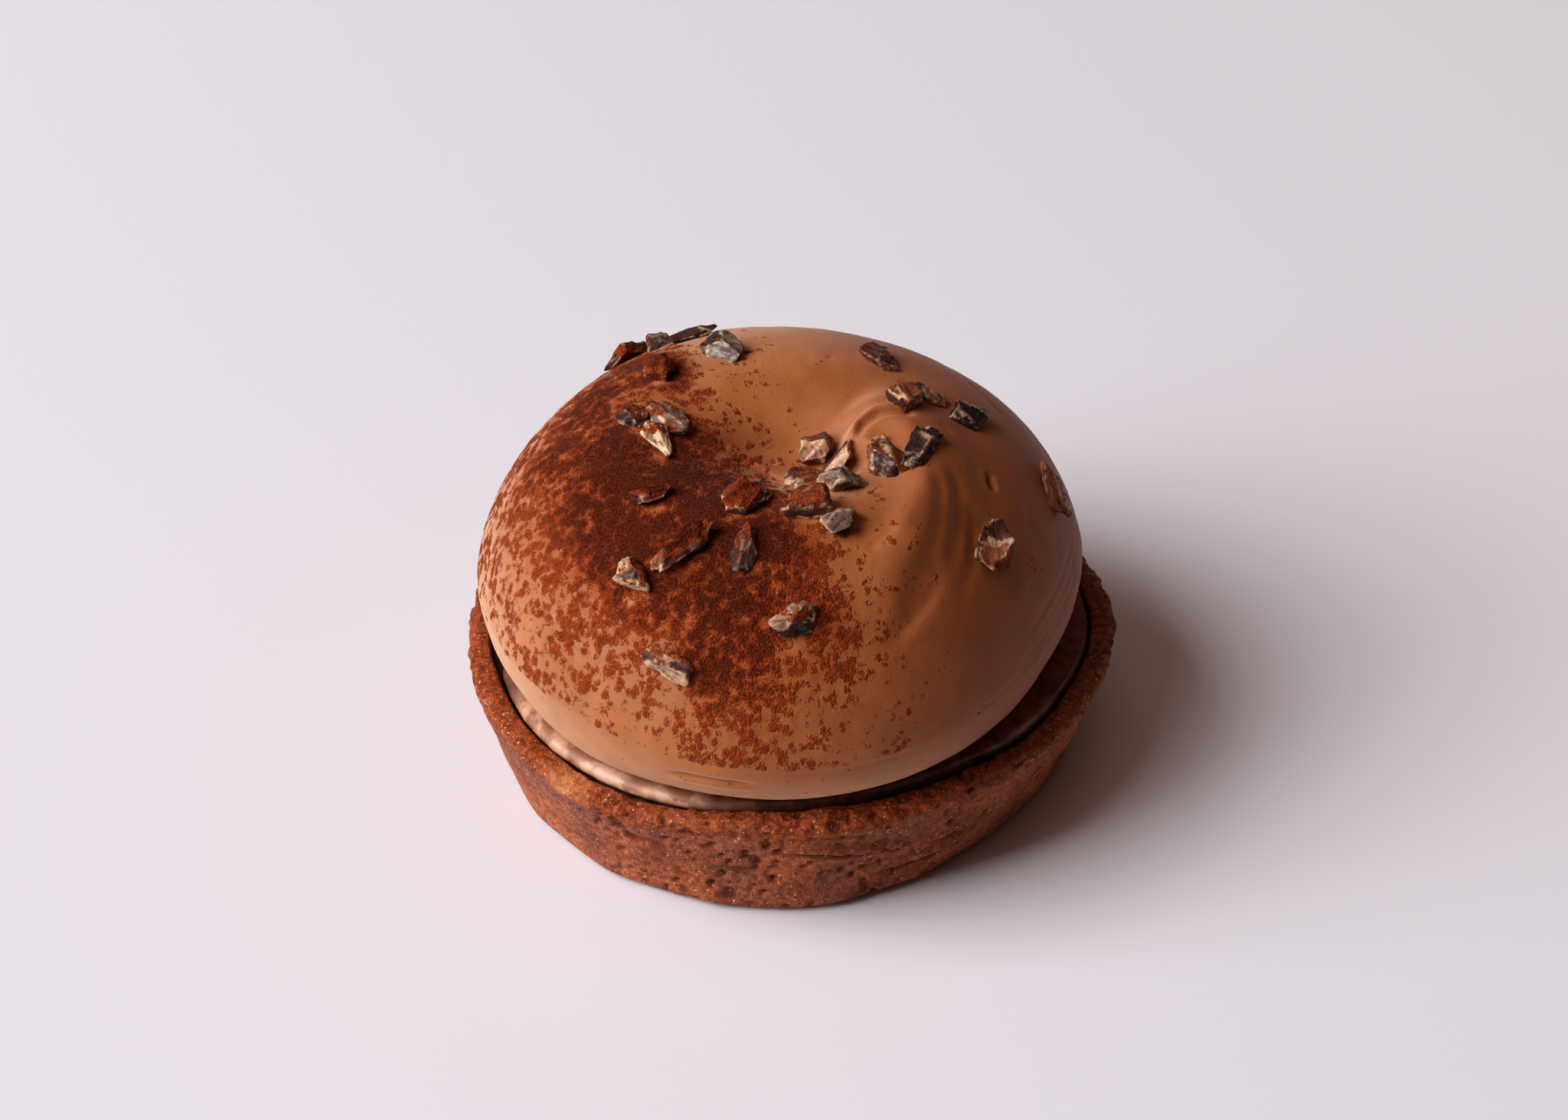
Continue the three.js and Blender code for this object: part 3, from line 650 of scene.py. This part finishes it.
# Marks low on the side: height, climb per degree, width, depth, first and last bearing.
side_marks = [(23.2, 0.02, 0.3, 0.65, -108, -96), (22.3, 0.02, 0.35, -0.2, -108, -95),
              (27.4, 0.02, 0.4, 0.1, -38, -8), (28.6, 0.03, 0.3, 0.08, -30, 4),
              (29.9, 0.03, 0.4, 0.08, -34, -4), (26.2, 0.02, 0.25, 0.1, -52, -20),
              (25.4, 0.01, 0.4, 0.1, -88, -66), (26.9, 0.01, 0.4, 0.08, -92, -60)]


def side_relief(angle, height):
    """Each mark is a hump taken away across a slowly climbing line, or a ridge where its depth
    is below 0."""
    bearing = np.degrees(angle)
    total = 0
    for level_at, climb, width, depth, first, last in side_marks:
        across = height - level_at - climb * (bearing - first)
        total = total - depth * hump(across, width) * within(bearing, first, last, 2.5)
    return total


# Cocoa nibs: x, y from the dome's middle, length, heading, kind and tone.
nibs = [
    (-18.9, 22.4, 5.4, 32, "chunk", "red"), (-15.4, 23.6, 4.6, 63, "flake", "grey"),
    (-10.8, 22.6, 4.6, 14, "sliver", "dark"), (-15.1, 11.6, 4.8, 94, "chunk", "red"),
    (-7.4, 15.6, 5.2, -36, "flake", "grey"), (12.5, 13.7, 5.4, -52, "flake", "tan"),
    (14.9, 2.6, 4.4, -77, "chunk", "red"), (17.9, 6.4, 4.6, -44, "flake", "cream"),
    (22.4, 3.7, 4.4, 44, "chunk", "dark"), (-17, 1.5, 3.8, 17, "chunk", "dark"),
    (-13.5, 0.6, 4.8, -54, "flake", "grey"), (-14.2, -3.3, 4.6, -77, "chunk", "cream"),
    (-14.5, -12.9, 4.8, 12, "flake", "red"), (-5.1, -14.9, 5.8, 62, "flake", "red"),
    (-2.2, -13.3, 4.8, 93, "sliver", "dark"), (4.3, -0.2, 5, 107, "chunk", "tan"),
    (7.4, -3.2, 5.4, 6, "flake", "tan"), (12.3, -5.4, 5.6, -49, "chunk", "red"),
    (16.6, -5.4, 6.8, 56, "sliver", "dark"), (2.8, -7.9, 4.6, 28, "chunk", "red"),
    (7.1, -9.5, 5.4, -32, "chunk", "grey"), (3.7, -16, 6, -7, "chunk", "red"),
    (6.7, -18.2, 5.8, 52, "flake", "grey"), (32.6, 1.1, 5.8, -34, "flake", "red"),
    (24.5, -16.3, 5.4, -64, "shell", "red"), (-11.6, -21.4, 7.6, 42, "sliver", "red"),
    (-4.1, -22.6, 5.2, 88, "flake", "grey"), (-17.1, -22.6, 4.8, 99, "chunk", "cream"),
    (1.5, -29.9, 4.4, 6, "chunk", "cream"), (-12.5, -31.7, 5, -68, "chunk", "tan")]

# Where the powder fell: x, y, size and thickness of each drift.
drifts = [(-17.7, -4.5, 7.7, 2.4), (-18, -13.8, 5.6, 2.9), (1.9, -11, 12, 0.43),
          (-13.2, 12, 4, 3.1), (-21.7, 13.1, 4.3, 1.1), (-27.5, -1, 3.3, 0.9),
          (-6.3, -21.8, 7.1, 4), (-2.5, -33.2, 4.5, 1.0), (-14.6, -20.1, 5.6, 2.8),
          (-23.4, 7, 4.3, 1.2), (-8.3, -32.8, 3, 1), (9, -30, 4.9, 1.4),
          (-9.8, -11.6, 3.6, 2.5), (-17.5, 21, 5, 1.2), (-28, -12, 6, 0.3),
          (-24, -24, 6, 0.2), (-31, 6, 6, 0.5), (-32, -3, 5, 0.35)]


def powder_edge(y):
    """The right-hand edge of the powder: straight between points from the front to the back."""
    return np.interp(y, [-36.9, -33, -29.2, -23.8, -18.7, -10.9, -5.4, -0.7, 9.2, 19.4, 26],
                     [6.5, 7.1, 7.6, 5, 6.5, 2.5, -1, -5.4, -11.2, -12.2, -15.8])


def powder(x, y):
    """How thickly cocoa lies, from 0 to 1: 1 - exp(-the sum of the drifts, each a hump), cut
    off along the powder's edge, where a few stray grains lie, and less a clean patch before
    each nib."""
    total = 0
    for drift_x, drift_y, size, thickness in drifts:
        total = total + thickness * hump(np.hypot(x - drift_x, y - drift_y), size)
    total = (1 - np.exp(-total)) * smooth(powder_edge(y) - x, -2.5, 2.5)
    total = np.maximum(total, 0.012 * smooth(powder_edge(y) - x, -13, -6))
    for nib_x, nib_y, nib_length, *_ in nibs:
        patch = ((x - nib_x - 0.4) / (0.3 * nib_length)) ** 2 + ((y - nib_y + 2.2) / 0.9) ** 2
        total = total * (1 - 0.75 * np.exp(-patch))
    return total


turn = np.linspace(-np.pi / 2, 0, 60, endpoint=False)
under = np.stack([foot_radius + (belly_radius - foot_radius) * np.cos(turn),
                  belly_height + (belly_height - foot_height) * np.sin(turn)], axis=1)
share = np.cos(np.linspace(0, np.pi / 2, 400))
over = np.stack([belly_radius * share, belly_height + crown_rise(share)], axis=1)
fine = np.concatenate([[(foot_radius - 6, foot_height)], under, over])
length = np.concatenate([[0], np.cumsum(np.hypot(*np.diff(fine, axis=0).T))])
stops = np.linspace(0, length[-1], 225)[:-1]  # evenly spaced along the profile
dome_profile = np.stack([np.interp(stops, length, line) for line in fine.T], axis=1)
dome_normal = outward(dome_profile)
angle = np.linspace(-np.pi, np.pi, 420, endpoint=False)[None, :]
radius, height = dome_profile[:, :1], dome_profile[:, 1:]
# It sagged at the left front and at the right front, so its underside is fuller there.
fuller = 3.8 * bell(angle, -134, 29) + 2.4 * bell(angle, -38, 28)
to_foot = np.clip((belly_radius - radius) / (belly_radius - foot_radius), 0, 1)
reach = radius * dome_stretch(angle) + fuller * to_foot * (height < belly_height)
x, y = reach * np.cos(angle), reach * np.sin(angle)
on_crown = smooth(height, belly_height - 0.01, belly_height + 0.5)
plain = np.stack([x, y, height + 0 * angle], axis=-1)
raised = side_relief(angle, height) + on_crown * knife_marks(x, y)
raised = raised + 0.1 * lumps(plain, 7, 41) + 0.035 * lumps(plain * (1, 0.6, 1), 1.6, 42)
raised = raised + 0.05 * lumps(plain * (0.5, 1, 1), 3, 45)
density = on_crown * powder(x, y)
heaps = 0.12 + 0.12 * lumps(plain, 1.1, 43) + 0.08 * lumps(plain, 3.2, 44)
raised = raised + np.sqrt(density) * heaps
out_x = raised * dome_normal[:, :1] * np.cos(angle)
out_y = raised * dome_normal[:, :1] * np.sin(angle)
dome_z = height + (height >= belly_height) * swirl(x, y) + raised * dome_normal[:, 1:]
dome_points = np.stack([x + out_x + dome_x, y + out_y + dome_y, dome_z], axis=-1)


def make_cocoa_dust():
    """Sieved cocoa over a clean surface. Round crumbs and noise of three sizes, added up, are
    cut off at a level that falls with the square root of the density, so that it goes from
    single grains through clumps to a closed layer. The film and the haze between grains are
    orange brown, and the heaps dark."""
    group = bpy.data.node_groups.new("cocoa_dust", "ShaderNodeTree")
    sockets = [("INPUT", "Density", "Float"), ("INPUT", "Clean Color", "Color"),
               ("INPUT", "Clean Roughness", "Float"), ("INPUT", "Clean Gloss", "Float"),
               ("OUTPUT", "Color", "Color"), ("OUTPUT", "Roughness", "Float"),
               ("OUTPUT", "Gloss", "Float"), ("OUTPUT", "Height", "Float")]
    for way, name, kind in sockets:
        group.interface.new_socket(name, in_out=way, socket_type="NodeSocket" + kind)
    given = group.nodes.new("NodeGroupInput").outputs
    made = group.nodes.new("NodeGroupOutput").inputs
    place = add(group, "TexCoord", {}, {}).outputs["Object"]
    crumb_size = 1.1
    cells = add(group, "TexVoronoi", {}, {"Vector": place, "Scale": 1000 / crumb_size})
    crumbs = math(group, "SUBTRACT", 1.0, cells.outputs["Distance"])
    crumbs = math(group, "MULTIPLY", crumbs, 0.2)
    clumps = math(group, "MULTIPLY", noise(group, 1.3, 2, 0.5, 1.25), 0.3)
    clouds = math(group, "MULTIPLY", noise(group, 3.6, 2), 0.3)
    grains = math(group, "MULTIPLY", noise(group, 0.3, 1), 0.2)
    field = math(group, "ADD", crumbs, clumps)
    field = math(group, "ADD", field, math(group, "ADD", clouds, grains))
    share = math(group, "SQRT", given["Density"], 0.0)
    level = ramp(group, share, 0, 0.15, 0.655, 0.575)
    level = math(group, "ADD", level, math(group, "MULTIPLY", share, -0.18))
    level = math(group, "ADD", level, ramp(group, share, 0.65, 1, 0.0, -0.07))
    above = math(group, "SUBTRACT", field, level)
    veil = math(group, "SUBTRACT", noise(group, 3, 4, 0.65, 1.4), 0.48)
    veil = math(group, "MULTIPLY", math(group, "MULTIPLY", veil, share), 1.6)
    haze = ramp(group, math(group, "ADD", given["Density"], veil), 0.0, 0.75, 0.0, 0.75)
    cover = math(group, "MAXIMUM", ramp(group, above, -0.045, 0.05), haze)
    thick = ramp(group, above, 0.0, 0.17)
    thick = math(group, "MULTIPLY", thick, ramp(group, share, 0.5, 0.95, 0.4, 1.0))
    grain = ramp(group, noise(group, 0.25, 1), 0.38, 0.62)
    film = blend(group, grain, (0.23, 0.041, 0.011, 1), (0.33, 0.065, 0.017, 1))
    heap = blend(group, grain, (0.058, 0.0105, 0.0045, 1), (0.12, 0.023, 0.009, 1))
    cocoa = blend(group, thick, film, heap)
    group.links.new(blend(group, cover, given["Clean Color"], cocoa), made["Color"])
    group.links.new(ramp(group, cover, 0, 1, given["Clean Roughness"], 0.95), made["Roughness"])
    group.links.new(ramp(group, cover, 0, 1, given["Clean Gloss"], 0.0), made["Gloss"])
    loose = math(group, "MULTIPLY", math(group, "ADD", cover, thick), 0.5)
    gritty = math(group, "ADD", noise(group, 0.3, 2), 0.5)
    group.links.new(math(group, "MULTIPLY", loose, gritty), made["Height"])
    return group


cocoa_dust = make_cocoa_dust()


def dusted(tree, shader, density, color, roughness, gloss):
    """Puts cocoa over a colour, a roughness and a fatty gloss. Returns the powder's height."""
    node = tree.nodes.new("ShaderNodeGroup")
    node.node_tree = cocoa_dust
    tree.links.new(density, node.inputs["Density"])
    tree.links.new(color, node.inputs["Clean Color"])
    tree.links.new(roughness, node.inputs["Clean Roughness"])
    tree.links.new(gloss, node.inputs["Clean Gloss"])
    tree.links.new(node.outputs["Color"], shader.inputs["Base Color"])
    tree.links.new(node.outputs["Roughness"], shader.inputs["Roughness"])
    tree.links.new(node.outputs["Gloss"], shader.inputs["Coat Weight"])
    return node.outputs["Height"]


mousse_finish, tree, shader = finish_named("whipped_ganache")
whipped = mottled(tree, 6, 3, 0.35, 0.65, (0.44, 0.146, 0.041, 1), (0.37, 0.117, 0.031, 1))
# Painted sheen: where the surface turns away from the view its colour is blended to a pale pink, as the
# window's sheen shows at the edges.
facing = add(tree, "LayerWeight", {}, {"Blend": 0.4}).outputs["Facing"]
# Painted shade: this mark darkens the colour towards the right, the side away from the window, and dims
# the painted sheen there.
painted_right_shade = mark(tree, "painted_right_shade")
painted_shade_color = mottled(tree, 6, 3, 0.35, 0.65, (0.32, 0.093, 0.023, 1), (0.27, 0.076, 0.019, 1))
whipped = blend(tree, painted_right_shade, whipped, painted_shade_color)
# The painted sheen's colour, darker on the right where the painted shade lies.
pale = blend(tree, painted_right_shade, (0.7, 0.4, 0.24, 1), (0.34, 0.135, 0.078, 1))
whipped = blend(tree, ramp(tree, facing, 0.2, 0.92, 0.0, 0.8), whipped, pale)
gloss = ramp(tree, noise(tree, 3, 2), 0.3, 0.7, 0.75, 1.0)
height_socket = dusted(tree, shader, mark(tree, "powder"), whipped, gloss, gloss)
fine_air = math(tree, "MULTIPLY", noise(tree, 0.4, 3), 0.26)
relief(tree, shader, math(tree, "ADD", height_socket, fine_air), 0.22)
shader.inputs["Specular IOR Level"].default_value = 0.04
shader.inputs["Coat Roughness"].default_value = 0.58
shader.inputs["Sheen Weight"].default_value = 0.07
shader.inputs["Sheen Roughness"].default_value = 0.45
shader.inputs["Sheen Tint"].default_value = (1, 0.74, 0.68, 1)
darkest_shade_bearing = np.radians(12)  # the bearing where the painted shade is darkest
to_right = x * np.cos(darkest_shade_bearing) + y * np.sin(darkest_shade_bearing)
# The second mark is painted shade, growing from the middle towards the right.
dome_marks = {"powder": density, "painted_right_shade": smooth(to_right, -2, 24)}
dome = skin("whipped_dome", dome_points, mousse_finish, dome_marks)
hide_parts("mousse_dome")
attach(dome, "root")

# ---------------------------------------------------------------------------------------------
# The nibs: cocoa beans broken into chips. Each has flat breaks, a dark inside with a fine
# grain along its length, and paler edges where bits of the bean's skin still hold.
# ---------------------------------------------------------------------------------------------
# Width and thickness of each kind as shares of its length, and how much it curls.
nib_kinds = {"chunk": (0.72, 0.56, 0), "flake": (0.68, 0.36, 0.1), "shell": (0.8, 0.28, 0.8),
             "sliver": (0.4, 0.36, 0.25)}
# Three colours for the breaks of each tone.
nib_tones = {
    "dark": [(0.03, 0.015, 0.013), (0.055, 0.023, 0.02), (0.085, 0.032, 0.022)],
    "red": [(0.2, 0.05, 0.022), (0.1, 0.027, 0.018), (0.29, 0.09, 0.04)],
    "grey": [(0.16, 0.1, 0.075), (0.06, 0.034, 0.029), (0.27, 0.18, 0.13)],
    "tan": [(0.42, 0.2, 0.12), (0.15, 0.055, 0.04), (0.56, 0.32, 0.2)],
    "cream": [(0.72, 0.47, 0.28), (0.05, 0.025, 0.02), (0.42, 0.22, 0.13)]}
nib_cuts = 9  # broken faces on each nib
nib_reach = 1.15  # how far its corners may stick out, in radii
nib_sunk = 0.2  # share of its height pressed into the dome
nib_radius, nib_half = 0.6, 0.42  # the ball's before and after the cuts, as shares of the length


def chance(seed):
    """A repeatable number from 0 to 1 for each seed: the fraction of a sine made very large."""
    scrambled = np.sin(seed * 12.9898) * 43758.5453
    return scrambled - np.floor(scrambled)


def ball(subdivisions):
    """The vertices and triangles of a round ball of radius 1."""
    work = bmesh.new()
    bmesh.ops.create_icosphere(work, subdivisions=subdivisions, radius=1)
    vertices = np.array([v.co[:] for v in work.verts])
    faces = np.array([[v.index for v in f.verts] for f in work.faces])
    work.free()
    return vertices / np.linalg.norm(vertices, axis=1, keepdims=True), faces


def crown_normal(x, y):
    """The direction straight out of the crown, from its slopes over a short step each way."""
    step = 0.6
    slope_x = (crown(x + step, y) - crown(x - step, y)) / (2 * step)
    slope_y = (crown(x, y + step) - crown(x, y - step)) / (2 * step)
    return np.array([-slope_x, -slope_y, 1]) / np.sqrt(slope_x ** 2 + slope_y ** 2 + 1)


def nib_shape(seed, length, kind, directions):
    """A ball cut back by flat faces that a loose spiral spreads round it: in each direction
    the nearest cut counts. It is then flattened, curled and given a grain along its length.
    Returns the points, each point's cut, how near it is to an edge, and its grain."""
    width, thickness, curl = nib_kinds[kind]
    k = np.arange(nib_cuts)
    height = 1 - 2 * (k + 0.5) / nib_cuts
    turn = 2.4 * k + 6.3 * chance(seed + 0.31 * k)  # 2.4 is the golden angle
    ring = np.sqrt(1 - height ** 2)
    cuts = np.stack([ring * np.cos(turn), ring * np.sin(turn), height], axis=1)
    distance = 0.5 + 0.4 * chance(seed + 7.7 + 0.53 * k)
    reaches = distance / np.maximum(directions @ cuts.T, 0.05)
    order = np.sort(reaches, axis=1)
    reach = np.minimum(order[:, 0], nib_reach)
    points = directions * reach[:, None] * np.array([1, width, thickness]) * length * nib_radius
    grain = lumps(points * (0.35, 1.6, 1.6) + seed * 9.1, 0.42, 51)
    chips = lumps(points + seed * 5.3, 1.0, 52)
    crags = 1 - 2.6 * np.abs(lumps(points * (0.7, 1, 1) + seed * 3.7, 1.3, 53))
    points = points * (1 + 0.045 * grain + 0.09 * chips + 0.07 * crags)[:, None]
    points[:, 2] += curl * (points[:, 0] ** 2 + points[:, 1] ** 2) / length
    edge = 1 - smooth(order[:, 1] - order[:, 0] + 0.08 * chips, 0.04, 0.24)
    return points, reaches.argmin(axis=1), edge, grain


def nib_place(nib, seed):
    """Where a nib lies: three axes and an origin. Its length follows its heading along the
    crown, it is rolled a little to one side, and it is sunk in by a share of its height."""
    x, y, length, heading, kind, _ = nib
    width, thickness, _ = nib_kinds[kind]
    out = crown_normal(x, y)
    ahead = np.array([np.cos(np.radians(heading)), np.sin(np.radians(heading)), 0])
    ahead = ahead - out * (ahead @ out)
    ahead = ahead / np.linalg.norm(ahead)
    roll = np.radians(70 * (chance(seed + 11) - 0.5))
    up = out * np.cos(roll) + np.cross(ahead, out) * np.sin(roll)
    side = np.cross(up, ahead)
    half_height = nib_half * length * np.hypot(thickness * np.cos(roll), width * np.sin(roll))
    lift = half_height * (1 - 2 * nib_sunk)
    origin = np.array([x, y, crown(x, y)]) + out * lift + (dome_x, dome_y, 0)
    return np.stack([ahead, side, up]), origin


directions, ball_faces = ball(5)
nib_points, nib_faces, nib_colors, nib_edges, nib_grains, nib_powder = [], [], [], [], [], []
for index, nib in enumerate(nibs):
    seed = index + 1
    nib_x, nib_y, nib_length, _, kind, tone = nib
    points, cut, edge, grain = nib_shape(seed, nib_length, kind, directions)
    axes, origin = nib_place(nib, seed)
    pick = (chance(seed * 3.1 + cut * 1.7) * 2.99).astype(int)  # one of the three colours
    held = 0.85 if tone == "red" else 0.25  # the red ones are rough and hold more powder
    fallen = held * powder(nib_x, nib_y + 1.5)
    nib_faces.append(ball_faces + len(directions) * index)
    nib_points.append(points @ axes + origin)
    nib_colors.append(np.array(nib_tones[tone])[pick])
    nib_edges.append(edge * (0.35 + 0.65 * chance(seed + 0.7 * cut)))
    nib_grains.append(grain)
    nib_powder.append(fallen * smooth(directions @ axes[:, 2], 0.1, 0.9))

nib_finish, tree, shader = finish_named("cocoa_nib")
inside = add(tree, "Attribute", {"attribute_name": "inside"}, {}).outputs["Color"]
streaks = ramp(tree, mark(tree, "grain"), -0.25, 0.5)
color = blend(tree, math(tree, "MULTIPLY", streaks, 0.6), inside, (0.016, 0.009, 0.009, 1))
pale = math(tree, "MULTIPLY", mark(tree, "edge"), ramp(tree, noise(tree, 1.2, 3), 0.44, 0.56))
color = blend(tree, pale, color, (0.68, 0.43, 0.25, 1))
shine = ramp(tree, noise(tree, 0.6, 2), 0.4, 0.6, 0.15, 0.75)
rough = ramp(tree, shine, 0, 1, 0.8, 0.5)
height_socket = dusted(tree, shader, mark(tree, "powder"), color, rough, shine)
shader.inputs["Specular IOR Level"].default_value = 0.1
shader.inputs["Coat Roughness"].default_value = 0.3
relief(tree, shader, math(tree, "ADD", height_socket, noise(tree, 0.3, 3)), 0.16)
mesh = bpy.data.meshes.new("cocoa_nibs")
nib_vertices = np.concatenate(nib_points) / 1000
mesh.from_pydata(nib_vertices.tolist(), [], np.concatenate(nib_faces).tolist())
mesh.shade_smooth()
colors = np.concatenate(nib_colors)
layer = mesh.attributes.new("inside", "FLOAT_COLOR", "POINT")
layer.data.foreach_set("color", np.concatenate([colors, np.ones((len(colors), 1))], axis=1).ravel())
for name, values in {"edge": nib_edges, "grain": nib_grains, "powder": nib_powder}.items():
    layer = mesh.attributes.new(name, "FLOAT", "POINT")
    layer.data.foreach_set("value", np.concatenate(values))
mesh.materials.append(nib_finish)
nib_piece = bpy.data.objects.new("cocoa_nibs", mesh)
bpy.context.collection.objects.link(nib_piece)
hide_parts("mousse_dome")
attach(nib_piece, "root")
